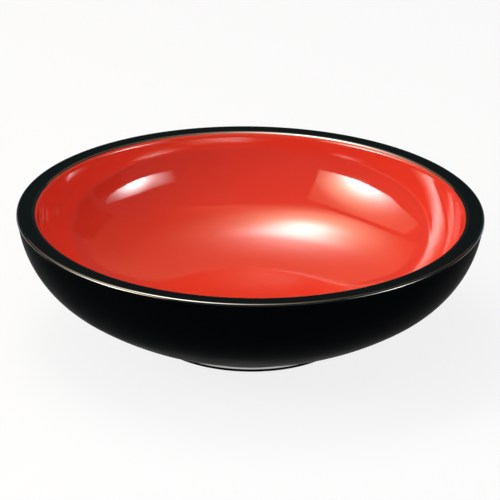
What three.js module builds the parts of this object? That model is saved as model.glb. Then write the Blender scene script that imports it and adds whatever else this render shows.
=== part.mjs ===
// A wide kneading bowl: a thick turned body on a glued foot ring, lacquered red inside and black outside.
// Millimetres, +Z up. The origin lies on the bowl's axis, in the plane that the foot stands on.
// Every surface is turned about that axis, so each piece is one profile of lines and arcs.

import * as THREE from "three";

// The whole bowl
const RIM_DIAMETER = 450;
const HEIGHT = 127;

// The flat rim, from its outside to the mouth's rounded edge, and the small collar under it
const RIM_WIDTH = 14.8;
const RIM_EDGE_RADIUS = 2.5;
const COLLAR_BAND_HEIGHT = 0.4;
const COLLAR_ROUND_RADIUS = 1.2;
const COLLAR_HOLLOW_RADIUS = 1.5;
const COLLAR_UNDERSIDE_LEAN = THREE.MathUtils.degToRad(55);

// The outer wall: nearly upright under the collar, a round hip, then a long belly to the foot
const WALL_LEAN = THREE.MathUtils.degToRad(7);
const HIP_RADIUS = 103.5;
const HIP_END_LEAN = THREE.MathUtils.degToRad(54.5);

// The mouth's rounded edge, and how far over it the black film runs before the red begins
const MOUTH_EDGE_RADIUS = 5.5;
const COLOUR_LINE_ANGLE = THREE.MathUtils.degToRad(36);

// The hollow: a nearly upright wall, a hip, a belly and a broad, gently dished floor
const INNER_WALL_LEAN = THREE.MathUtils.degToRad(6);
const INNER_BELLY_RADIUS = 270;
const FLOOR_EDGE_DIAMETER = 180;
const FLOOR_DISH_RADIUS = 635;
const FLOOR_THICKNESS = 15;

// The foot ring, let into a groove under the body
const FOOT_DIAMETER = 189;
const FOOT_RING_WIDTH = 12;
const FOOT_HEIGHT_OUTSIDE = 8;
const FOOT_TENON_HEIGHT = 4;
const FOOT_EDGE_RADIUS = 1.2;
const BASE_LIFT = 7;
const GLUE_CLEARANCE = 0.3;

// The lacquer films, each from sealer to top coat
const INNER_COAT = 0.5;
const RIM_COAT = 0.5;
const OUTER_COAT = 0.5;
const BASE_COAT = 0.5;
const FILM_GAP = 0.05;

// Facets: sides round the axis, and how far a chord may leave its arc
const SIDES = 56;
const CHORD_ERROR = 0.25;
const LEAST_STEPS = 2;

const UPRIGHT = 0;
const LEVEL = Math.PI / 2;

// A point of a profile: distance from the axis and height.
const at = (radius, height) => new THREE.Vector2(radius, height);

// The direction out of a wall that leans by the given angle from upright, facing away from the axis and down.
const outward = (lean) => at(Math.cos(lean), -Math.sin(lean));

// The point a given distance from another along a direction.
const along = (start, direction, distance) => start.clone().addScaledVector(direction, distance);

// Points on an arc between two leans, both included. A negative radius puts the centre outside the wall.
// `depth` moves the arc into the material without changing its number of points.
function arc(centre, radius, depth, fromLean, toLean) {
  const chord = 2 * Math.acos(1 - CHORD_ERROR / Math.max(Math.abs(radius), CHORD_ERROR));
  const steps = Math.max(LEAST_STEPS, Math.ceil(Math.abs(toLean - fromLean) / chord));
  return Array.from({ length: steps + 1 }, (_, i) =>
    along(centre, outward(THREE.MathUtils.lerp(fromLean, toLean, i / steps)), radius - depth),
  );
}

// A profile without the points that repeat the one before them.
const withoutRepeats = (points) => points.filter((p, i) => i === 0 || !p.equals(points[i - 1]));

// Places that the surfaces share

const rimRadius = RIM_DIAMETER / 2;
const footRadius = FOOT_DIAMETER / 2;
const footInnerRadius = footRadius - FOOT_RING_WIDTH;
const grooveOuterRadius = footRadius + GLUE_CLEARANCE;
const grooveInnerRadius = footInnerRadius - GLUE_CLEARANCE;
const grooveTop = FOOT_HEIGHT_OUTSIDE + FOOT_TENON_HEIGHT;

// The collar's rounds are tangent to each other and to the wall below.
const rimEdgeCentre = at(rimRadius - RIM_EDGE_RADIUS, HEIGHT - RIM_EDGE_RADIUS);
const collarRoundCentre = at(
  rimRadius - COLLAR_ROUND_RADIUS,
  rimEdgeCentre.y - COLLAR_BAND_HEIGHT,
);
const collarHollowCentre = along(
  collarRoundCentre,
  outward(COLLAR_UNDERSIDE_LEAN),
  COLLAR_ROUND_RADIUS + COLLAR_HOLLOW_RADIUS,
);
const wallTop = along(collarHollowCentre, outward(WALL_LEAN), -COLLAR_HOLLOW_RADIUS);

// The hip leaves the wall's top at its lean. The belly leaves the hip and passes through the foot's edge.
const hipCentre = along(wallTop, outward(WALL_LEAN), -HIP_RADIUS);
const hipEnd = along(hipCentre, outward(HIP_END_LEAN), HIP_RADIUS);
const hipToFoot = at(grooveOuterRadius, FOOT_HEIGHT_OUTSIDE).sub(hipEnd);
const bellyRadius = -hipToFoot.lengthSq() / (2 * hipToFoot.dot(outward(HIP_END_LEAN)));
const bellyCentre = along(hipEnd, outward(HIP_END_LEAN), -bellyRadius);

// Inside, the belly carries on from the edge of the dished floor, whose centre is on the axis.
const floorHeight = BASE_LIFT + FLOOR_THICKNESS;
const floorCentre = at(0, floorHeight + FLOOR_DISH_RADIUS);
const floorEdgeLean = Math.acos(FLOOR_EDGE_DIAMETER / 2 / FLOOR_DISH_RADIUS);
const innerBellyCentre = along(
  floorCentre,
  outward(floorEdgeLean),
  FLOOR_DISH_RADIUS - INNER_BELLY_RADIUS,
);

// The hip leaves the mouth's edge and runs tangent into the belly.
const mouthEdgeCentre = at(rimRadius - RIM_WIDTH, HEIGHT - MOUTH_EDGE_RADIUS);
const colourLineLean = -LEVEL - COLOUR_LINE_ANGLE;
const innerWallTop = along(mouthEdgeCentre, outward(INNER_WALL_LEAN), -MOUTH_EDGE_RADIUS);
const bellyToWall = innerWallTop.clone().sub(innerBellyCentre);
const innerHipRadius =
  (INNER_BELLY_RADIUS ** 2 - bellyToWall.lengthSq()) /
  (2 * (INNER_BELLY_RADIUS - bellyToWall.dot(outward(INNER_WALL_LEAN))));
const innerHipCentre = along(innerWallTop, outward(INNER_WALL_LEAN), -innerHipRadius);
const innerHipEndLean = Math.atan2(
  innerBellyCentre.y - innerHipCentre.y,
  innerHipCentre.x - innerBellyCentre.x,
);

// Surfaces, as profiles that run up the outside, over the rim and down the inside

// The outer wall at a depth below its finished face, from the foot's groove up to the collar's round.
function outerWall(depth) {
  const footLean = Math.acos((grooveOuterRadius - bellyCentre.x) / (bellyRadius - depth));
  return [
    ...arc(bellyCentre, bellyRadius, depth, footLean, HIP_END_LEAN),
    ...arc(hipCentre, HIP_RADIUS, depth, HIP_END_LEAN, WALL_LEAN).slice(1),
    ...arc(collarHollowCentre, -COLLAR_HOLLOW_RADIUS, depth, WALL_LEAN, COLLAR_UNDERSIDE_LEAN).slice(1),
    ...arc(collarRoundCentre, COLLAR_ROUND_RADIUS, depth, COLLAR_UNDERSIDE_LEAN, UPRIGHT).slice(1),
  ];
}

// The collar's upright band and the rim at a depth below their finished faces, over to the colour line.
function rim(depth) {
  return [
    along(collarRoundCentre, outward(UPRIGHT), COLLAR_ROUND_RADIUS - depth),
    ...arc(rimEdgeCentre, RIM_EDGE_RADIUS, depth, UPRIGHT, -LEVEL),
    ...arc(mouthEdgeCentre, MOUTH_EDGE_RADIUS, depth, -LEVEL, colourLineLean),
  ];
}

// The hollow at a depth below its finished face, from the colour line down to the middle of the floor.
function hollow(depth) {
  const wallTopLean = INNER_WALL_LEAN - Math.PI;
  const mouthEdge = arc(mouthEdgeCentre, MOUTH_EDGE_RADIUS, depth, colourLineLean, wallTopLean);
  const hip = arc(innerHipCentre, innerHipRadius, -depth, INNER_WALL_LEAN, innerHipEndLean);
  const belly = arc(innerBellyCentre, INNER_BELLY_RADIUS, -depth, innerHipEndLean, floorEdgeLean);
  const floor = arc(floorCentre, FLOOR_DISH_RADIUS, -depth, floorEdgeLean, LEVEL);
  const middle = at(0, floorHeight - depth);
  return [...mouthEdge, ...hip.slice(1), ...belly.slice(1), ...floor.slice(1, -1), middle];
}

// Solids

// A solid of revolution about +Z from a profile that goes counter-clockwise round its section.
function revolve(profile) {
  return new THREE.LatheGeometry(withoutRepeats(profile), SIDES).rotateX(LEVEL);
}

// A film that lies on the body: its finished face, and its back face at the film's depth.
function film(surface, thickness) {
  const face = surface(0);
  const back = surface(thickness).reverse();
  return revolve([...face, ...back, face[0]]);
}

// A film whose surface ends on the axis needs no closing line there.
function filmToAxis(surface, thickness) {
  return revolve([...surface(thickness).reverse(), ...surface(0)]);
}

function bowlCore() {
  const underside = BASE_LIFT + BASE_COAT + FILM_GAP;
  return revolve([
    at(0, underside),
    at(grooveInnerRadius, underside),
    at(grooveInnerRadius, grooveTop),
    at(grooveOuterRadius, grooveTop),
    ...outerWall(OUTER_COAT + FILM_GAP),
    ...rim(RIM_COAT + FILM_GAP),
    ...hollow(INNER_COAT + FILM_GAP),
  ]);
}

// The foot ring stands on its flat lower face, with both lower edges rounded.
function footRing() {
  const outerEdge = at(footRadius - FOOT_EDGE_RADIUS, FOOT_EDGE_RADIUS);
  const innerEdge = at(footInnerRadius + FOOT_EDGE_RADIUS, FOOT_EDGE_RADIUS);
  const section = [
    ...arc(outerEdge, FOOT_EDGE_RADIUS, 0, LEVEL, UPRIGHT),
    at(footRadius, grooveTop),
    at(footInnerRadius, grooveTop),
    ...arc(innerEdge, FOOT_EDGE_RADIUS, 0, Math.PI, LEVEL),
  ];
  return revolve([...section, section[0]]);
}

// The film under the base stops short of the ring by the glue's clearance.
function baseCoat() {
  return revolve([
    at(0, BASE_LIFT),
    at(grooveInnerRadius, BASE_LIFT),
    at(grooveInnerRadius, BASE_LIFT + BASE_COAT),
    at(0, BASE_LIFT + BASE_COAT),
  ]);
}

// Finishes

const bareBody = new THREE.MeshStandardMaterial({ color: "#8b6a47", roughness: 0.85, metalness: 0 });
const redLacquer = new THREE.MeshStandardMaterial({ color: "#cf2a20", roughness: 0.1, metalness: 0 });
const blackLacquer = new THREE.MeshStandardMaterial({ color: "#0c0f10", roughness: 0.28, metalness: 0 });
const blackFoot = new THREE.MeshStandardMaterial({ color: "#0a0b0c", roughness: 0.4, metalness: 0 });

function piece(name, geometry, material) {
  const mesh = new THREE.Mesh(geometry, material);
  mesh.name = name;
  return mesh;
}

const bowl = new THREE.Group();
bowl.add(
  piece("bowl_core", bowlCore(), bareBody),
  piece("foot_ring", footRing(), blackFoot),
  piece("outer_black_coat", film(outerWall, OUTER_COAT), blackLacquer),
  piece("rim_black_coat", film(rim, RIM_COAT), blackLacquer),
  piece("inner_red_coat", filmToAxis(hollow, INNER_COAT), redLacquer),
  piece("base_black_coat", baseCoat(), blackLacquer),
);

export default bowl;
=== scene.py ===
"""A wide kneading bowl, turned and lacquered: red inside, black outside, on a low foot ring.

The bowl's sizes are millimetres in the dataclasses and become metres when a mesh is made.
"""

import logging
import math
from dataclasses import dataclass
from enum import Enum
from typing import Any

import bpy
from mathutils import Matrix, Vector


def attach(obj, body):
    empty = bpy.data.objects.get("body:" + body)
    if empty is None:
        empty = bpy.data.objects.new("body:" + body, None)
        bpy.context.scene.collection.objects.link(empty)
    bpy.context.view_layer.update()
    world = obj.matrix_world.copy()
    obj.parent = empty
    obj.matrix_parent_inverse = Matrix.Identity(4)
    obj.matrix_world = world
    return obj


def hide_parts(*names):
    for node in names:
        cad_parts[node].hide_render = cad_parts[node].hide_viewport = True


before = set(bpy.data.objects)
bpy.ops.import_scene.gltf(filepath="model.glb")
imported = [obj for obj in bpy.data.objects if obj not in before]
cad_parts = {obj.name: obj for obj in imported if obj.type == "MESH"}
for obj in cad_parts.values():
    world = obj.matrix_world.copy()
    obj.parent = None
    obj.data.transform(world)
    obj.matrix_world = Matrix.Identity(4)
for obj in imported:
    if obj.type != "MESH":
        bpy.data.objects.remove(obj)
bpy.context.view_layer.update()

LOG = logging.getLogger("kneading_bowl")
ROOT = "root"
MM = 0.001
WHITE = "#ffffff"

UPRIGHT = 0.0
LEVEL = math.pi / 2


class Slot(Enum):
    """The record's material slots."""

    BODY = "wood_composite_body"
    FOOT = "black_foot_finish"
    BLACK = "black_lacquer"
    RED = "red_lacquer"


class Spacing(Enum):
    """How far apart the points of a profile lie, in millimetres."""

    SHOWN = 2.4
    HIDDEN = 7.0


def linear(colour: str) -> tuple[float, float, float, float]:
    """Turns an sRGB hex colour to linear.

    Args:
        colour: The colour as "#rrggbb".

    Returns:
        Linear red, green and blue, and an alpha of 1.
    """
    parts = [int(colour[i : i + 2], 16) / 255 for i in (1, 3, 5)]
    red, green, blue = (
        c / 12.92 if c <= 0.04045 else ((c + 0.055) / 1.055) ** 2.4 for c in parts
    )
    return red, green, blue, 1.0


def add_node(
    tree: bpy.types.NodeTree,
    kind: str,
    inputs: dict[str | int, Any] | None = None,
    **settings: Any,
) -> bpy.types.Node:
    """Adds a node with its settings, and sets or links its inputs.

    Args:
        tree: The tree that takes the node.
        kind: The node's type name.
        inputs: A value or an output socket for each input, by name or number.
        **settings: The node's own properties.

    Returns:
        The new node.
    """
    node = tree.nodes.new(kind)
    for name, value in settings.items():
        setattr(node, name, value)
    for key, value in (inputs or {}).items():
        if isinstance(value, bpy.types.NodeSocket):
            tree.links.new(value, node.inputs[key])
        else:
            node.inputs[key].default_value = value
    return node


def add_noise(
    tree: bpy.types.NodeTree,
    place: bpy.types.NodeSocket,
    size: float,
    detail: float,
    roughness: float = 0.5,
) -> bpy.types.NodeSocket:
    """Adds a noise texture.

    Args:
        tree: The tree that takes the node.
        place: The coordinates that it is laid on.
        size: How wide its patches are, in millimetres.
        detail: How many finer layers it has.
        roughness: How strong the finer layers are.

    Returns:
        The noise's value.
    """
    inputs = {"Vector": place, "Scale": 1 / (size * MM), "Detail": detail, "Roughness": roughness}
    return add_node(tree, "ShaderNodeTexNoise", inputs).outputs["Fac"]


def add_blend(
    tree: bpy.types.NodeTree, share: bpy.types.NodeSocket, first: str, second: str
) -> bpy.types.NodeSocket:
    """Adds a blend of two colours.

    Args:
        tree: The tree that takes the node.
        share: The second colour's share.
        first: The first colour as "#rrggbb".
        second: The second colour as "#rrggbb".

    Returns:
        The blended colour.
    """
    inputs = {"Factor": share, "A": linear(first), "B": linear(second)}
    return add_node(tree, "ShaderNodeMix", inputs, data_type="RGBA").outputs["Result"]


def add_relief(tree: bpy.types.NodeTree, rise: bpy.types.NodeSocket) -> bpy.types.NodeSocket:
    """Adds a relief from a height in metres.

    Args:
        tree: The tree that takes the node.
        rise: The height of the surface.

    Returns:
        The normal.
    """
    inputs = {"Height": rise, "Strength": 1.0, "Distance": 1.0}
    return add_node(tree, "ShaderNodeBump", inputs).outputs["Normal"]


def shader_tree(name: str) -> tuple[bpy.types.Material, bpy.types.NodeTree, bpy.types.NodeSocket]:
    """Makes an empty material.

    Args:
        name: The material's name.

    Returns:
        The material, its node tree and the surface socket of its output.
    """
    material = bpy.data.materials.new(name)
    material.use_nodes = True
    material.node_tree.nodes.clear()
    output = add_node(material.node_tree, "ShaderNodeOutputMaterial")
    return material, material.node_tree, output.inputs["Surface"]


def outward(lean: float) -> Vector:
    """The direction out of a wall that leans from upright, away from the axis and down."""
    return Vector((math.cos(lean), -math.sin(lean)))


@dataclass(frozen=True)
class Arc:
    """An arc of a profile, between two leans of the wall.

    A negative radius puts the centre outside the wall.
    """

    centre: Vector
    radius: float
    start: float
    end: float
    fewest_steps: int = 6

    def points(self, depth: float, spacing: Spacing) -> list[Vector]:
        """Points on the arc at a depth below its face, both ends included.

        Args:
            depth: How far into the material the arc is moved.
            spacing: How far apart the points lie.

        Returns:
            The points as radius and height.
        """
        length = abs(self.radius * (self.end - self.start))
        steps = max(self.fewest_steps, math.ceil(length / spacing.value))
        leans = (self.start + (self.end - self.start) * i / steps for i in range(steps + 1))
        return [self.centre + outward(lean) * (self.radius - depth) for lean in leans]


@dataclass(frozen=True)
class BowlForm:
    """The bowl's sizes and the profiles that follow from them, in millimetres."""

    rim_diameter: float = 450.0
    height: float = 127.0
    rim_width: float = 14.8
    rim_edge_radius: float = 2.5
    burnish_lean: float = math.radians(-15)
    collar_band_height: float = 0.4
    collar_round_radius: float = 1.2
    collar_hollow_radius: float = 1.5
    collar_underside_lean: float = math.radians(55)
    wall_lean: float = math.radians(7)
    hip_radius: float = 103.5
    hip_end_lean: float = math.radians(54.5)
    mouth_edge_radius: float = 5.5
    colour_line_angle: float = math.radians(36)
    inner_wall_lean: float = math.radians(6)
    inner_belly_radius: float = 270.0
    floor_edge_diameter: float = 180.0
    floor_dish_radius: float = 635.0
    floor_thickness: float = 15.0
    foot_diameter: float = 189.0
    foot_ring_width: float = 12.0
    foot_height_outside: float = 8.0
    foot_tenon_height: float = 4.0
    foot_edge_radius: float = 1.2
    base_lift: float = 7.0
    glue_clearance: float = 0.3
    film: float = 0.5
    film_gap: float = 0.05

    @property
    def foot_radius(self) -> float:
        """Outer radius of the foot ring."""
        return self.foot_diameter / 2

    @property
    def foot_inner_radius(self) -> float:
        """Inner radius of the foot ring."""
        return self.foot_radius - self.foot_ring_width

    @property
    def groove_radii(self) -> tuple[float, float]:
        """Inner and outer radius of the groove that takes the foot ring."""
        return self.foot_inner_radius - self.glue_clearance, self.foot_radius + self.glue_clearance

    @property
    def groove_top(self) -> float:
        """Height of the groove's flat top."""
        return self.foot_height_outside + self.foot_tenon_height

    @property
    def rim_edge(self) -> tuple[Arc, Arc]:
        """The rim's rounded outer edge: its satin foot and, from there up, its burnished part."""
        radius = self.rim_edge_radius
        centre = Vector((self.rim_diameter / 2 - radius, self.height - radius))
        return (
            Arc(centre, radius, UPRIGHT, self.burnish_lean),
            Arc(centre, radius, self.burnish_lean, -LEVEL, fewest_steps=12),
        )

    @property
    def collar(self) -> tuple[Arc, Arc]:
        """The collar's hollow and its round, tangent to each other and to the wall."""
        band_foot = self.rim_edge[0].centre.y - self.collar_band_height
        centre = Vector((self.rim_diameter / 2 - self.collar_round_radius, band_foot))
        reach = self.collar_round_radius + self.collar_hollow_radius
        hollow = centre + outward(self.collar_underside_lean) * reach
        return (
            Arc(hollow, -self.collar_hollow_radius, self.wall_lean, self.collar_underside_lean),
            Arc(centre, self.collar_round_radius, self.collar_underside_lean, UPRIGHT),
        )

    @property
    def mouth_edge(self) -> tuple[Arc, Arc]:
        """The mouth's rounded edge: its black part and, from the colour line, its red part."""
        radius = self.mouth_edge_radius
        centre = Vector((self.rim_diameter / 2 - self.rim_width, self.height - radius))
        line = -LEVEL - self.colour_line_angle
        return (
            Arc(centre, radius, -LEVEL, line),
            Arc(centre, radius, line, self.inner_wall_lean - math.pi, fewest_steps=10),
        )

    def outer_wall(self, depth: float, spacing: Spacing) -> list[Vector]:
        """The outer wall at a depth below its face, from the foot's groove to the rim's edge.

        Args:
            depth: How far below the finished face the profile lies.
            spacing: How far apart its points lie.

        Returns:
            The profile's points.
        """
        collar_hollow, collar_round = self.collar
        wall_top = collar_hollow.points(0, spacing)[0]
        hip_centre = wall_top - outward(self.wall_lean) * self.hip_radius
        leave = outward(self.hip_end_lean)
        hip_end = hip_centre + leave * self.hip_radius
        foot_edge = self.groove_radii[1]
        to_foot = Vector((foot_edge, self.foot_height_outside)) - hip_end
        belly_radius = -to_foot.length_squared / (2 * to_foot.dot(leave))
        belly_centre = hip_end - leave * belly_radius
        foot_lean = math.acos((foot_edge - belly_centre.x) / (belly_radius - depth))
        belly = Arc(belly_centre, belly_radius, foot_lean, self.hip_end_lean)
        hip = Arc(hip_centre, self.hip_radius, self.hip_end_lean, self.wall_lean)
        return [
            *belly.points(depth, spacing),
            *hip.points(depth, spacing)[1:],
            *collar_hollow.points(depth, spacing)[1:],
            *collar_round.points(depth, spacing)[1:],
            *self.rim_edge[0].points(depth, spacing),
        ]

    def burnished_edge(self, depth: float, spacing: Spacing) -> list[Vector]:
        """The burnished part of the rim's outer edge at a depth below its face, from the foot up.

        Args:
            depth: How far below the finished face the profile lies.
            spacing: How far apart its points lie.

        Returns:
            The profile's points.
        """
        return self.rim_edge[1].points(depth, spacing)

    def rim(self, depth: float, spacing: Spacing) -> list[Vector]:
        """The rim's flat at a depth below its face, from its outer edge to its inner edge.

        Args:
            depth: How far below the finished face the profile lies.
            spacing: How far apart its points lie.

        Returns:
            The profile's points.
        """
        start = self.burnished_edge(depth, spacing)[-1]
        end = self.burnished_mouth(depth, spacing)[0]
        steps = math.ceil((start - end).length / spacing.value)
        return [start.lerp(end, i / steps) for i in range(steps + 1)]

    def burnished_mouth(self, depth: float, spacing: Spacing) -> list[Vector]:
        """The black part of the mouth's edge at a depth below its face, down to the colour line.

        Args:
            depth: How far below the finished face the profile lies.
            spacing: How far apart its points lie.

        Returns:
            The profile's points.
        """
        return self.mouth_edge[0].points(depth, spacing)

    def hollow(self, depth: float, spacing: Spacing) -> list[Vector]:
        """The hollow at a depth below its face, from the colour line to the middle of the floor.

        Args:
            depth: How far below the finished face the profile lies.
            spacing: How far apart its points lie.

        Returns:
            The profile's points.
        """
        floor_height = self.base_lift + self.floor_thickness
        floor_centre = Vector((0, floor_height + self.floor_dish_radius))
        floor_lean = math.acos(self.floor_edge_diameter / 2 / self.floor_dish_radius)
        belly_radius = self.inner_belly_radius
        belly_centre = floor_centre + outward(floor_lean) * (self.floor_dish_radius - belly_radius)
        edge = self.mouth_edge[1]
        leave = outward(self.inner_wall_lean)
        wall_top = edge.centre - leave * edge.radius
        to_wall = wall_top - belly_centre
        room = belly_radius**2 - to_wall.length_squared
        hip_radius = room / (2 * (belly_radius - to_wall.dot(leave)))
        hip_centre = wall_top - leave * hip_radius
        across = hip_centre - belly_centre
        hip_lean = math.atan2(-across.y, across.x)
        hip = Arc(hip_centre, hip_radius, self.inner_wall_lean, hip_lean)
        belly = Arc(belly_centre, belly_radius, hip_lean, floor_lean)
        floor = Arc(floor_centre, self.floor_dish_radius, floor_lean, LEVEL)
        return [
            *edge.points(depth, spacing),
            *hip.points(-depth, spacing)[1:],
            *belly.points(-depth, spacing)[1:],
            *floor.points(-depth, spacing)[1:-1],
            Vector((0, floor_height - depth)),
        ]


@dataclass(frozen=True)
class Lacquer:
    """A sprayed lacquer film, rubbed level and polished.

    Spraying leaves a faint orange peel and a few nibs of dust, the pigment clouds a little, and
    handling dulls the gloss in patches.
    """

    name: str
    colour: str
    clouded: str
    gloss: tuple[float, float]
    ior: float
    specular: float
    cloud_size: float = 55.0
    haze_size: float = 32.0
    haze_range: tuple[float, float] = (0.3, 0.7)
    peel_size: float = 3.2
    peel_depth: float = 0.012
    nib_spacing: float = 38.0
    nib_radius: float = 0.35
    nib_height: float = 0.01

    def material(self) -> bpy.types.Material:
        """Builds the film's node material.

        Returns:
            The material.
        """
        material, tree, surface = shader_tree(self.name)
        place = add_node(tree, "ShaderNodeTexCoord").outputs["Object"]
        cloud = add_noise(tree, place, self.cloud_size, detail=2.0)
        haze = add_noise(tree, place, self.haze_size, detail=4.0)
        peel = add_noise(tree, place, self.peel_size, detail=1.0)
        gloss = add_node(
            tree,
            "ShaderNodeMapRange",
            {
                "Value": haze,
                "From Min": self.haze_range[0],
                "From Max": self.haze_range[1],
                "To Min": self.gloss[0],
                "To Max": self.gloss[1],
            },
        )
        nib = add_node(
            tree,
            "ShaderNodeTexVoronoi",
            {"Vector": place, "Scale": 1 / (self.nib_spacing * MM)},
        )
        nib_rise = add_node(
            tree,
            "ShaderNodeMapRange",
            {
                "Value": nib.outputs["Distance"],
                "From Min": 0.0,
                "From Max": self.nib_radius / self.nib_spacing,
                "To Min": self.nib_height * MM,
                "To Max": 0.0,
            },
            interpolation_type="SMOOTHSTEP",
        )
        rise = add_node(
            tree,
            "ShaderNodeMath",
            {0: peel, 1: self.peel_depth * MM, 2: nib_rise.outputs["Result"]},
            operation="MULTIPLY_ADD",
        )
        shader = add_node(
            tree,
            "ShaderNodeBsdfPrincipled",
            {
                "Base Color": add_blend(tree, cloud, self.colour, self.clouded),
                "Roughness": gloss.outputs["Result"],
                "IOR": self.ior,
                "Specular IOR Level": self.specular,
                "Normal": add_relief(tree, rise.outputs[0]),
            },
        )
        tree.links.new(shader.outputs["BSDF"], surface)
        return material


# Vermilion pigment in a polished film: an opaque, warm red with sharp window-like reflections.
RED_LACQUER = Lacquer(
    name="sprayed_vermilion_lacquer",
    colour="#e8402d",
    clouded="#e33c2a",
    gloss=(0.04, 0.07),
    ior=1.7,
    specular=1.0,
)

# Carbon black left from the spray gun: a deep satin black that hardly reflects.
WALL_BLACK_LACQUER = Lacquer(
    name="sprayed_black_satin_lacquer",
    colour="#030506",
    clouded="#050708",
    gloss=(0.32, 0.4),
    ior=1.5,
    specular=0.0018,
    peel_size=2.6,
    peel_depth=0.008,
)

# Carbon black rubbed level and polished on the rim: black, with clear but faint reflections.
RIM_BLACK_LACQUER = Lacquer(
    name="polished_black_lacquer",
    colour="#050606",
    clouded="#070808",
    gloss=(0.05, 0.08),
    ior=1.5,
    specular=0.5,
    peel_size=2.6,
    peel_depth=0.006,
)

# Carbon black burnished by hand on the rim's two edges: a bright line where a lamp is mirrored.
EDGE_BLACK_LACQUER = Lacquer(
    name="burnished_black_lacquer",
    colour="#050606",
    clouded="#070808",
    gloss=(0.03, 0.06),
    ior=2.2,
    specular=1.0,
    peel_size=2.6,
    peel_depth=0.006,
)

# Carbon black waxed and rubbed in a narrow line round the foot: it mirrors the pale table.
FOOT_LINE_LACQUER = Lacquer(
    name="waxed_black_lacquer",
    colour="#050606",
    clouded="#070808",
    gloss=(0.05, 0.08),
    ior=3.0,
    specular=1.0,
    peel_size=2.6,
    peel_depth=0.002,
)


@dataclass(frozen=True)
class BlackFootStain:
    """Wood stained black under a thin satin coat: the grain shows, and the foot is scuffed."""

    name: str = "black_stained_turned_wood"
    colour: str = "#040506"
    scuffed: str = "#1a1918"
    roughness: float = 0.42
    specular: float = 0.04
    grain_width: float = 0.9
    grain_depth: float = 0.03
    scuff_size: float = 2.2
    scuff_height: float = 1.1
    scuff_range: tuple[float, float] = (0.5, 0.7)

    def material(self) -> bpy.types.Material:
        """Builds the ring's node material.

        Returns:
            The material.
        """
        material, tree, surface = shader_tree(self.name)
        place = add_node(tree, "ShaderNodeTexCoord").outputs["Object"]
        part = add_node(tree, "ShaderNodeSeparateXYZ", {"Vector": place})
        grain = add_noise(tree, place, self.grain_width, detail=3.0)
        scuff = add_noise(tree, place, self.scuff_size, detail=5.0, roughness=0.7)
        low = add_node(
            tree,
            "ShaderNodeMapRange",
            {
                "Value": part.outputs["Z"],
                "From Min": 0.0,
                "From Max": self.scuff_height * MM,
                "To Min": 1.0,
                "To Max": 0.0,
            },
        )
        worn = add_node(
            tree,
            "ShaderNodeMapRange",
            {"Value": scuff, "From Min": self.scuff_range[0], "From Max": self.scuff_range[1]},
        )
        wear = add_node(
            tree,
            "ShaderNodeMath",
            {0: low.outputs["Result"], 1: worn.outputs["Result"]},
            operation="MULTIPLY",
        )
        rise = add_node(
            tree, "ShaderNodeMath", {0: grain, 1: self.grain_depth * MM}, operation="MULTIPLY"
        )
        shader = add_node(
            tree,
            "ShaderNodeBsdfPrincipled",
            {
                "Base Color": add_blend(tree, wear.outputs[0], self.colour, self.scuffed),
                "Roughness": self.roughness,
                "Specular IOR Level": self.specular,
                "Normal": add_relief(tree, rise.outputs[0]),
            },
        )
        tree.links.new(shader.outputs["BSDF"], surface)
        return material


@dataclass(frozen=True)
class BareBody:
    """The bare body under the films: a dense, even brown of turned wood and resin."""

    name: str = "bare_turned_wood"
    colour: str = "#8b6a47"
    grain: str = "#6f5236"
    grain_width: float = 3.0
    roughness: float = 0.85

    def material(self) -> bpy.types.Material:
        """Builds the body's node material.

        Returns:
            The material.
        """
        material, tree, surface = shader_tree(self.name)
        place = add_node(tree, "ShaderNodeTexCoord").outputs["Object"]
        grain = add_noise(tree, place, self.grain_width, detail=4.0)
        wood = add_blend(tree, grain, self.colour, self.grain)
        shader = add_node(
            tree,
            "ShaderNodeBsdfPrincipled",
            {"Base Color": wood, "Roughness": self.roughness},
        )
        tree.links.new(shader.outputs["BSDF"], surface)
        return material


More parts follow.
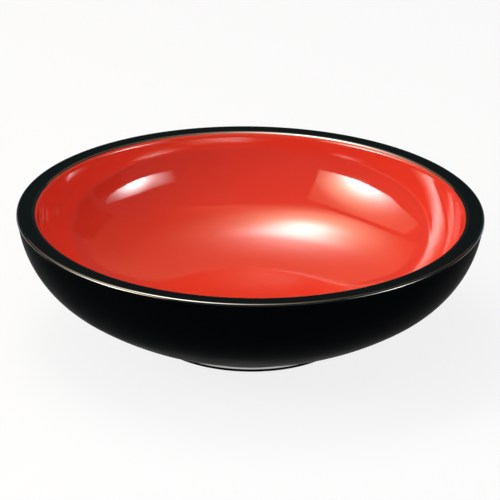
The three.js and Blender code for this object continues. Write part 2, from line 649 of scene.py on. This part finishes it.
class Lathe:
    """The Geometry Nodes tree that turns a section about the bowl's axis."""

    SIDES = 320
    CREASE = math.radians(30)
    MERGE = 1e-6
    EVEN = (0.0, 60.0)
    UNEVEN_SEED = 7.0

    def __init__(self) -> None:
        """Builds the tree with its named inputs."""
        self.group = bpy.data.node_groups.new("turn_section_about_axis", "GeometryNodeTree")
        self.inputs: dict[str, str] = {}
        self._add_sockets()
        self._add_nodes()

    def _add_sockets(self) -> None:
        """Adds the tree's inputs and its output."""
        face = self.group.interface
        kinds = {
            "Section": "NodeSocketGeometry",
            "Sides": "NodeSocketInt",
            "Crease Angle": "NodeSocketFloat",
            "Merge Distance": "NodeSocketFloat",
            "Uneven Depth": "NodeSocketFloat",
            "Uneven Size": "NodeSocketFloat",
            "Uneven Seed": "NodeSocketFloat",
            "Finish": "NodeSocketMaterial",
        }
        for name, kind in kinds.items():
            socket = face.new_socket(name, in_out="INPUT", socket_type=kind)
            self.inputs[name] = socket.identifier
        face.new_socket("Piece", in_out="OUTPUT", socket_type="NodeSocketGeometry")

    def _add_nodes(self) -> None:
        """Adds the nodes: a grid laid round the axis, made uneven, creased and dressed."""
        tree = self.group
        sizes = add_node(tree, "NodeGroupInput").outputs
        creased = self._crease(sizes, self._make_uneven(sizes, self._lay_round(sizes)))
        whole = add_node(tree, "GeometryNodeRealizeInstances", {"Geometry": creased})
        dressed = add_node(
            tree,
            "GeometryNodeSetMaterial",
            {"Geometry": whole.outputs[0], "Material": sizes["Finish"]},
        )
        add_node(tree, "NodeGroupOutput", {"Piece": dressed.outputs[0]})

    def _lay_round(self, sizes: bpy.types.bpy_prop_collection) -> bpy.types.NodeSocket:
        """Adds a grid with a column for each side, laid along the section and round the axis.

        Args:
            sizes: The tree's inputs.

        Returns:
            The closed surface.
        """
        tree = self.group
        section = sizes["Section"]
        count = add_node(
            tree, "GeometryNodeAttributeDomainSize", {"Geometry": section}
        ).outputs["Point Count"]
        columns = add_node(
            tree, "FunctionNodeIntegerMath", {0: sizes["Sides"], 1: 1}, operation="ADD"
        )
        grid = add_node(
            tree,
            "GeometryNodeMeshGrid",
            {"Vertices X": columns.outputs[0], "Vertices Y": count},
        )
        index = add_node(tree, "GeometryNodeInputIndex").outputs[0]
        column = add_node(
            tree, "FunctionNodeIntegerMath", {0: index, 1: count}, operation="DIVIDE_FLOOR"
        )
        row = add_node(tree, "FunctionNodeIntegerMath", {0: index, 1: count}, operation="MODULO")
        point = add_node(
            tree,
            "GeometryNodeSampleIndex",
            {
                "Geometry": section,
                "Value": add_node(tree, "GeometryNodeInputPosition").outputs[0],
                "Index": row.outputs[0],
            },
            data_type="FLOAT_VECTOR",
        )
        part = add_node(
            tree, "ShaderNodeMath", {0: column.outputs[0], 1: sizes["Sides"]}, operation="DIVIDE"
        )
        angle = add_node(
            tree, "ShaderNodeMath", {0: part.outputs[0], 1: math.tau}, operation="MULTIPLY"
        )
        turned = add_node(
            tree,
            "ShaderNodeVectorRotate",
            {"Vector": point.outputs[0], "Angle": angle.outputs[0]},
            rotation_type="Z_AXIS",
        )
        laid = add_node(
            tree,
            "GeometryNodeSetPosition",
            {"Geometry": grid.outputs["Mesh"], "Position": turned.outputs[0]},
        )
        return add_node(
            tree,
            "GeometryNodeMergeByDistance",
            {"Geometry": laid.outputs[0], "Distance": sizes["Merge Distance"]},
        ).outputs[0]

    def _make_uneven(
        self, sizes: bpy.types.bpy_prop_collection, surface: bpy.types.NodeSocket
    ) -> bpy.types.NodeSocket:
        """Presses soft, shallow hollows in the surface, and never raises it.

        Args:
            sizes: The tree's inputs.
            surface: The even surface.

        Returns:
            The uneven surface.
        """
        tree = self.group
        fineness = add_node(
            tree, "ShaderNodeMath", {0: 1.0, 1: sizes["Uneven Size"]}, operation="DIVIDE"
        )
        swell = add_node(
            tree,
            "ShaderNodeTexNoise",
            {"W": sizes["Uneven Seed"], "Scale": fineness.outputs[0], "Detail": 1.0},
            noise_dimensions="4D",
        )
        level = add_node(
            tree, "ShaderNodeMath", {0: swell.outputs["Fac"], 1: 1.0}, operation="SUBTRACT"
        )
        height = add_node(
            tree,
            "ShaderNodeMath",
            {0: level.outputs[0], 1: sizes["Uneven Depth"]},
            operation="MULTIPLY",
        )
        offset = add_node(
            tree,
            "ShaderNodeVectorMath",
            {
                "Vector": add_node(tree, "GeometryNodeInputNormal").outputs[0],
                "Scale": height.outputs[0],
            },
            operation="SCALE",
        )
        return add_node(
            tree,
            "GeometryNodeSetPosition",
            {"Geometry": surface, "Offset": offset.outputs[0]},
        ).outputs[0]

    def _crease(
        self, sizes: bpy.types.bpy_prop_collection, surface: bpy.types.NodeSocket
    ) -> bpy.types.NodeSocket:
        """Shades the surface smooth, apart from its sharp edges.

        Args:
            sizes: The tree's inputs.
            surface: The surface.

        Returns:
            The shaded surface.
        """
        tree = self.group
        bend = add_node(tree, "GeometryNodeInputMeshEdgeAngle").outputs["Unsigned Angle"]
        crease = add_node(
            tree,
            "FunctionNodeCompare",
            {0: bend, 1: sizes["Crease Angle"]},
            data_type="FLOAT",
            operation="GREATER_THAN",
        )
        smooth = add_node(
            tree,
            "GeometryNodeSetShadeSmooth",
            {"Geometry": surface, "Shade Smooth": True},
            domain="FACE",
        )
        return add_node(
            tree,
            "GeometryNodeSetShadeSmooth",
            {
                "Geometry": smooth.outputs[0],
                "Selection": crease.outputs[0],
                "Shade Smooth": False,
            },
            domain="EDGE",
        ).outputs[0]

    def turn(
        self,
        name: str,
        section: list[Vector],
        finish: bpy.types.Material,
        uneven: tuple[float, float] = EVEN,
    ) -> bpy.types.Object:
        """Turns a section to a plain mesh object.

        Args:
            name: The piece's name.
            section: The section's points, counter-clockwise, as radius and height in millimetres.
            finish: The piece's material.
            uneven: How deep and how wide the film's slight hollows are, in millimetres.

        Returns:
            The turned piece, with its place in its mesh.
        """
        line = bpy.data.meshes.new(f"{name}_section")
        points = [(max(p.x, 0.0) * MM, 0.0, p.y * MM) for p in section]
        line.from_pydata(points, [(i, i + 1) for i in range(len(points) - 1)], [])
        piece = bpy.data.objects.new(name, line)
        bpy.context.scene.collection.objects.link(piece)
        turning = piece.modifiers.new("turning", "NODES")
        turning.node_group = self.group
        turning[self.inputs["Sides"]] = self.SIDES
        turning[self.inputs["Crease Angle"]] = self.CREASE
        turning[self.inputs["Merge Distance"]] = self.MERGE
        turning[self.inputs["Uneven Depth"]] = uneven[0] * MM
        turning[self.inputs["Uneven Size"]] = uneven[1] * MM
        turning[self.inputs["Uneven Seed"]] = self.UNEVEN_SEED
        turning[self.inputs["Finish"]] = finish
        graph = bpy.context.evaluated_depsgraph_get()
        mesh = bpy.data.meshes.new_from_object(piece.evaluated_get(graph), depsgraph=graph)
        piece.modifiers.clear()
        piece.data = mesh
        mesh.name = name
        bpy.data.meshes.remove(line)
        return piece


def settle(piece: bpy.types.Object, node: str) -> None:
    """Lets a piece stand for its CAD node, on the one body.

    Args:
        piece: The finished piece.
        node: The CAD node that it replaces.
    """
    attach(piece, ROOT)
    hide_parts(node)
    LOG.info("%s stands for %s: %d faces", piece.name, node, len(piece.data.polygons))


@dataclass
class TurnedBody:
    """The thick body under the films, with the groove for the foot ring."""

    form: BowlForm

    def build(self, lathe: Lathe) -> None:
        """Turns and dresses the body.

        Args:
            lathe: The tree that turns sections.
        """
        form = self.form
        depth = form.film + form.film_gap
        underside = form.base_lift + depth
        inner, outer = form.groove_radii
        section = [
            Vector((0, underside)),
            Vector((inner, underside)),
            Vector((inner, form.groove_top)),
            Vector((outer, form.groove_top)),
            *form.outer_wall(depth, Spacing.HIDDEN),
            *form.burnished_edge(depth, Spacing.HIDDEN),
            *form.rim(depth, Spacing.HIDDEN),
            *form.burnished_mouth(depth, Spacing.HIDDEN),
            *form.hollow(depth, Spacing.HIDDEN),
        ]
        settle(lathe.turn("turned_body", section, BareBody().material()), "bowl_core")


@dataclass
class TurnedFoot:
    """The ring that the bowl stands on, with a burnished line round it, glued into its groove."""

    form: BowlForm
    line_heights: tuple[float, float] = (3.0, 4.6)
    line_thickness: float = 0.04

    def build(self, lathe: Lathe) -> None:
        """Turns and dresses the ring and its line.

        Args:
            lathe: The tree that turns sections.
        """
        ring = lathe.turn("turned_foot_ring", self._ring(), BlackFootStain().material())
        settle(ring, "foot_ring")
        line = lathe.turn("burnished_foot_line", self._line(), FOOT_LINE_LACQUER.material())
        settle(line, "foot_ring")

    def _ring(self) -> list[Vector]:
        """The ring's section, with the two edges that it stands on rounded.

        Returns:
            The section's points.
        """
        form = self.form
        radius = form.foot_edge_radius
        outer = Arc(Vector((form.foot_radius - radius, radius)), radius, LEVEL, UPRIGHT)
        inner = Arc(Vector((form.foot_inner_radius + radius, radius)), radius, math.pi, LEVEL)
        section = [
            *outer.points(0, Spacing.SHOWN),
            Vector((form.foot_radius, form.groove_top)),
            Vector((form.foot_inner_radius, form.groove_top)),
            *inner.points(0, Spacing.SHOWN),
        ]
        return [*section, section[0]]

    def _line(self) -> list[Vector]:
        """The line's section, which lies a hair proud of the ring.

        Returns:
            The section's points.
        """
        low, high = self.line_heights
        front = self.form.foot_radius + self.line_thickness
        back = self.form.foot_radius - self.line_thickness
        corners = ((back, low), (front, low), (front, high), (back, high), (back, low))
        return [Vector(corner) for corner in corners]


@dataclass
class LacquerFilms:
    """The films over the body: red inside, black over the rim, the outer wall and the base."""

    form: BowlForm
    uneven: tuple[float, float] = (0.02, 70.0)

    def build(self, lathe: Lathe) -> None:
        """Turns and dresses the films, with the rim's two burnished edges as pieces of their own.

        Args:
            lathe: The tree that turns sections.
        """
        form = self.form
        red = RED_LACQUER.material()
        wall_black = WALL_BLACK_LACQUER.material()
        rim_black = RIM_BLACK_LACQUER.material()
        edge_black = EDGE_BLACK_LACQUER.material()
        film = form.film
        back = form.hollow(film, Spacing.HIDDEN)
        section = [*reversed(back), *form.hollow(0, Spacing.SHOWN)]
        lining = lathe.turn("red_lacquer_lining", section, red, self.uneven)
        settle(lining, "inner_red_coat")
        for name, node, surface, black in (
            ("black_lacquer_rim", "rim_black_coat", form.rim, rim_black),
            ("burnished_rim_edge", "rim_black_coat", form.burnished_edge, edge_black),
            ("burnished_mouth_edge", "rim_black_coat", form.burnished_mouth, edge_black),
            ("black_lacquer_wall", "outer_black_coat", form.outer_wall, wall_black),
        ):
            face = surface(0, Spacing.SHOWN)
            back = surface(film, Spacing.HIDDEN)
            section = [*face, *reversed(back), face[0]]
            settle(lathe.turn(name, section, black, self.uneven), node)
        edge = form.groove_radii[0]
        lift = form.base_lift
        corners = ((0, lift), (edge, lift), (edge, lift + film), (0, lift + film))
        base = lathe.turn("black_lacquer_base", [Vector(c) for c in corners], wall_black)
        settle(base, "base_black_coat")


def add_sheet(
    name: str,
    corners: tuple[tuple[float, float, float], ...],
    material: bpy.types.Material,
) -> bpy.types.Object:
    """Adds a flat sheet to the scene.

    Args:
        name: The sheet's name.
        corners: Its corners in order, in metres.
        material: Its material.

    Returns:
        The sheet.
    """
    mesh = bpy.data.meshes.new(name)
    mesh.from_pydata(corners, [], [tuple(range(len(corners)))])
    mesh.materials.append(material)
    sheet = bpy.data.objects.new(name, mesh)
    bpy.context.scene.collection.objects.link(sheet)
    return sheet


@dataclass(frozen=True)
class SoftSpot:
    """The bright spot that a lamp throws on the back of a diffuser cloth, in metres."""

    radiance: float
    centre: tuple[float, float, float]
    spread: tuple[float, float, float]
    colour: str = WHITE

    def light(self, tree: bpy.types.NodeTree, place: bpy.types.NodeSocket) -> bpy.types.NodeSocket:
        """Adds the spot's light, which fades softly from its centre.

        Args:
            tree: The cloth's node tree.
            place: The coordinates on the cloth.

        Returns:
            The emission's socket.
        """
        away = add_node(
            tree, "ShaderNodeVectorMath", {0: place, 1: self.centre}, operation="SUBTRACT"
        )
        scaled = add_node(
            tree, "ShaderNodeVectorMath", {0: away.outputs[0], 1: self.spread}, operation="DIVIDE"
        )
        square = add_node(
            tree,
            "ShaderNodeVectorMath",
            {0: scaled.outputs[0], 1: scaled.outputs[0]},
            operation="DOT_PRODUCT",
        )
        falling = add_node(
            tree, "ShaderNodeMath", {0: square.outputs["Value"], 1: -1.0}, operation="MULTIPLY"
        )
        soft = add_node(tree, "ShaderNodeMath", {0: falling.outputs[0]}, operation="EXPONENT")
        strength = add_node(
            tree, "ShaderNodeMath", {0: soft.outputs[0], 1: self.radiance}, operation="MULTIPLY"
        )
        return add_node(
            tree,
            "ShaderNodeEmission",
            {"Color": linear(self.colour), "Strength": strength.outputs[0]},
        ).outputs[0]


@dataclass(frozen=True)
class DiffuserPanel:
    """A flat diffuser cloth with lamps behind it: an even glow with soft, bright spots.

    Lengths are metres. The cloth lights the bowl and, unless it only fills, is mirrored in its gloss,
    but the camera doesn't see it.
    """

    name: str
    corners: tuple[tuple[float, float, float], ...]
    glow: float
    spots: tuple[SoftSpot, ...] = ()
    colour: str = WHITE
    mirrored: bool = True

    def build(self) -> None:
        """Hangs the panel in the scene."""
        panel = add_sheet(self.name, self.corners, self._cloth())
        panel.visible_camera = False
        panel.visible_glossy = self.mirrored

    def _cloth(self) -> bpy.types.Material:
        """Builds the cloth's light.

        Returns:
            The emitting material.
        """
        material, tree, surface = shader_tree(f"{self.name}_cloth")
        place = add_node(tree, "ShaderNodeTexCoord").outputs["Object"]
        light = add_node(
            tree, "ShaderNodeEmission", {"Color": linear(self.colour), "Strength": self.glow}
        ).outputs[0]
        for spot in self.spots:
            both = {0: light, 1: spot.light(tree, place)}
            light = add_node(tree, "ShaderNodeAddShader", both).outputs[0]
        tree.links.new(light, surface)
        return material


# A spread so wide that a spot doesn't fade in that direction.
FLAT = 100.0
# Lamplight through creamy cloth, and light that the red hollow throws back on the cloth.
WARM = "#ffebc4"
BLUSH = "#ff9a80"
# How far out the two side panels hang.
LEFT = -2.16
RIGHT = 2.28

# Mirrored as the broad box on the right wall.
LEFT_PANEL = DiffuserPanel(
    name="left_diffuser",
    corners=tuple(
        (LEFT, y, z)
        for y, z in (
            (-2.58, 1.36),
            (-1.54, 1.1),
            (-1.04, 1.0),
            (-0.6, 0.95),
            (0.05, 0.9),
            (0.53, 0.96),
            (1.27, 0.89),
            (1.43, 1.58),
            (-1.89, 4.23),
            (-2.39, 2.9),
        )
    ),
    glow=0.36,
    spots=(
        SoftSpot(10.8, (LEFT, -0.82, 0.94), (FLAT, 0.73, 0.58)),
        SoftSpot(2.7, (LEFT, -1.1, 1.75), (FLAT, 1.1, 0.75), WARM),
    ),
    colour=WARM,
)

# Mirrored as the slim box on the left wall.
RIGHT_PANEL = DiffuserPanel(
    name="right_diffuser",
    corners=tuple(
        (RIGHT, y, z)
        for y, z in (
            (0.32, 1.05),
            (0.12, 0.97),
            (-0.29, 0.95),
            (-0.62, 0.96),
            (-0.95, 1.0),
            (-1.29, 1.07),
            (-2.12, 1.31),
            (-2.0, 2.15),
            (-1.4, 1.88),
            (-0.5, 1.6),
            (0.37, 1.2),
        )
    ),
    glow=0.22,
    spots=(
        SoftSpot(10.2, (RIGHT, -0.71, 1.03), (FLAT, 0.48, 0.4)),
        SoftSpot(1.2, (RIGHT, -1.45, 1.4), (FLAT, 0.4, 0.5)),
    ),
)

# Mirrored as the soft spot on the floor; its edges draw the lines at the back and front of it.
TOP_PANEL = DiffuserPanel(
    name="top_diffuser",
    corners=(
        (-2.02, 1.95, 1.262),
        (2.2, 1.95, 1.262),
        (2.25, -0.47, 3.27),
        (0.27, -1.13, 3.818),
        (-1.94, -1.27, 3.934),
    ),
    glow=0.06,
    spots=(
        SoftSpot(5.0, (-0.66, 0.56, 2.415), (0.36, 0.33, FLAT)),
        SoftSpot(4.7, (-0.34, 0.9, 2.133), (0.32, 0.35, FLAT)),
        SoftSpot(3.0, (-0.9, 0.35, 2.589), (0.95, 0.83, FLAT), WARM),
        SoftSpot(0.35, (-0.2, 1.95, 1.262), (1.6, 0.35, FLAT), BLUSH),
        SoftSpot(0.55, (0.7, -1.0, 3.71), (1.4, 0.6, FLAT), BLUSH),
    ),
    colour=WARM,
)

# These two even the red, from the front and from above, and aren't mirrored.
FRONT_FILL = DiffuserPanel(
    name="front_fill",
    corners=((-4.2, -3.6, 0.8), (-4.2, -3.6, 3.8), (-0.4, -3.6, 3.8), (-0.4, -3.6, 0.8)),
    glow=1.5,
    mirrored=False,
)
OVERHEAD_FILL = DiffuserPanel(
    name="overhead_fill",
    corners=((-3.5, -2.5, 4.5), (-3.5, 2.5, 4.5), (1.5, 2.5, 4.5), (1.5, -2.5, 4.5)),
    glow=1.9,
    mirrored=False,
)


@dataclass(frozen=True)
class BlackCard:
    """A small black card over the back rim, in metres.

    It keeps the right lamp out of the double reflections on the left wall, and is seen only by
    mirrored rays that go to the right.
    """

    name: str
    across: float
    deep: tuple[float, float]
    high: tuple[float, float]

    def build(self) -> None:
        """Stands the card in the scene."""
        near, far = self.deep
        low, top = self.high
        outline = ((near, low), (near, top), (far, top), (far, low))
        corners = tuple((self.across, y, z) for y, z in outline)
        card = add_sheet(self.name, corners, self._paper())
        card.visible_camera = False
        card.visible_diffuse = False
        card.visible_shadow = False

    def _paper(self) -> bpy.types.Material:
        """Builds the black paper, clear from behind.

        Returns:
            The material.
        """
        material, tree, surface = shader_tree(f"{self.name}_paper")
        behind = add_node(tree, "ShaderNodeNewGeometry").outputs["Backfacing"]
        black = add_node(tree, "ShaderNodeEmission", {"Strength": 0.0})
        clear = add_node(tree, "ShaderNodeBsdfTransparent")
        paper = add_node(
            tree, "ShaderNodeMixShader", {0: behind, 1: black.outputs[0], 2: clear.outputs[0]}
        )
        tree.links.new(paper.outputs[0], surface)
        return material


BLACK_CARDS = (
    BlackCard("black_card_right", across=0.15, deep=(0.085, 0.165), high=(0.135, 0.185)),
    BlackCard("black_card_middle", across=0.06, deep=(0.16, 0.2), high=(0.128, 0.21)),
    BlackCard("black_card_left", across=0.0, deep=(0.165, 0.205), high=(0.128, 0.17)),
)


@dataclass
class Studio:
    """A white floor, diffuser panels, a soft room and the camera, in metres and degrees."""

    floor_half: float = 9.0
    floor_colour: str = "#f0f5ff"
    floor_roughness: float = 0.8
    floor_specular: float = 0.1
    floor_white_share: float = 0.84
    room_light: float = 0.25
    mirrored_room: str = "#323f41"
    camera_distance: float = 4.5
    camera_elevation: float = 22.514
    camera_roll: float = 0.744
    camera_focal: float = 337.1
    camera_sensor: float = 36.0
    camera_reach: float = 100.0
    rim_centre: tuple[float, float, float] = (0.0, 0.0, 0.1245)
    aim_drop: float = 0.0351
    panels: tuple[DiffuserPanel, ...] = (
        LEFT_PANEL,
        RIGHT_PANEL,
        TOP_PANEL,
        FRONT_FILL,
        OVERHEAD_FILL,
    )
    cards: tuple[BlackCard, ...] = BLACK_CARDS

    def build(self) -> None:
        """Adds the floor, the room's light, the panels, the cards and the camera."""
        self._floor()
        self._room()
        for piece in (*self.panels, *self.cards):
            piece.build()
        self._camera()

    def _floor(self) -> None:
        """Lays a plain floor that looks nearly white and keeps the bowl's soft shadow."""
        material, tree, surface = shader_tree("white_studio_floor")
        lit = add_node(
            tree,
            "ShaderNodeBsdfPrincipled",
            {
                "Base Color": linear(self.floor_colour),
                "Roughness": self.floor_roughness,
                "Specular IOR Level": self.floor_specular,
            },
        )
        white = add_node(tree, "ShaderNodeEmission", {"Strength": 1.0})
        ray = add_node(tree, "ShaderNodeLightPath").outputs
        seen: Any = ray["Is Camera Ray"]
        for kind in ("Is Glossy Ray", "Is Transmission Ray"):
            seen = add_node(
                tree, "ShaderNodeMath", {0: seen, 1: ray[kind]}, operation="MAXIMUM"
            ).outputs[0]
        share = add_node(
            tree, "ShaderNodeMath", {0: seen, 1: self.floor_white_share}, operation="MULTIPLY"
        )
        shader = add_node(
            tree,
            "ShaderNodeMixShader",
            {0: share.outputs[0], 1: lit.outputs["BSDF"], 2: white.outputs[0]},
        )
        tree.links.new(shader.outputs[0], surface)
        half = self.floor_half
        outline = ((-half, -half), (half, -half), (half, half), (-half, half))
        floor = add_sheet("floor", tuple((x, y, 0.0) for x, y in outline), material)

    def _room(self) -> None:
        """Fills the room with soft, even light, which the gloss mirrors only dimly."""
        world = bpy.data.worlds.new("studio_room")
        world.use_nodes = True
        tree = world.node_tree
        tree.nodes.clear()
        light = add_node(
            tree, "ShaderNodeBackground", {"Color": linear(WHITE), "Strength": self.room_light}
        )
        mirrored = add_node(tree, "ShaderNodeBackground", {"Color": linear(self.mirrored_room)})
        glossy = add_node(tree, "ShaderNodeLightPath").outputs["Is Glossy Ray"]
        room = add_node(
            tree, "ShaderNodeMixShader", {0: glossy, 1: light.outputs[0], 2: mirrored.outputs[0]}
        )
        add_node(tree, "ShaderNodeOutputWorld", {"Surface": room.outputs[0]})
        bpy.context.scene.world = world

    def _camera(self) -> None:
        """Sets the camera at the photograph's angle, distance and slight roll."""
        data = bpy.data.cameras.new("camera")
        data.sensor_width = self.camera_sensor
        data.lens = self.camera_focal
        data.clip_end = self.camera_reach
        camera = bpy.data.objects.new("camera", data)
        elevation = math.radians(self.camera_elevation)
        back = Vector((0.0, -math.cos(elevation), math.sin(elevation)))
        up = Vector((0.0, math.sin(elevation), math.cos(elevation)))
        centre = Vector(self.rim_centre)
        place = centre + back * self.camera_distance
        aim = centre - up * self.aim_drop
        turn = (aim - place).to_track_quat("-Z", "Y").to_matrix()
        roll = Matrix.Rotation(math.radians(self.camera_roll), 3, "Z")
        camera.matrix_world = Matrix.Translation(place) @ (turn @ roll).to_4x4()
        bpy.context.scene.collection.objects.link(camera)
        bpy.context.scene.camera = camera


def main() -> None:
    """Builds the bowl's pieces in order, then the studio."""
    logging.basicConfig(level=logging.INFO, format="%(message)s")
    bpy.context.scene.view_settings.view_transform = "Standard"
    form = BowlForm()
    lathe = Lathe()
    for assembly in (TurnedBody(form), TurnedFoot(form), LacquerFilms(form)):
        assembly.build(lathe)
    Studio().build()


if __name__ == "__main__":
    main()
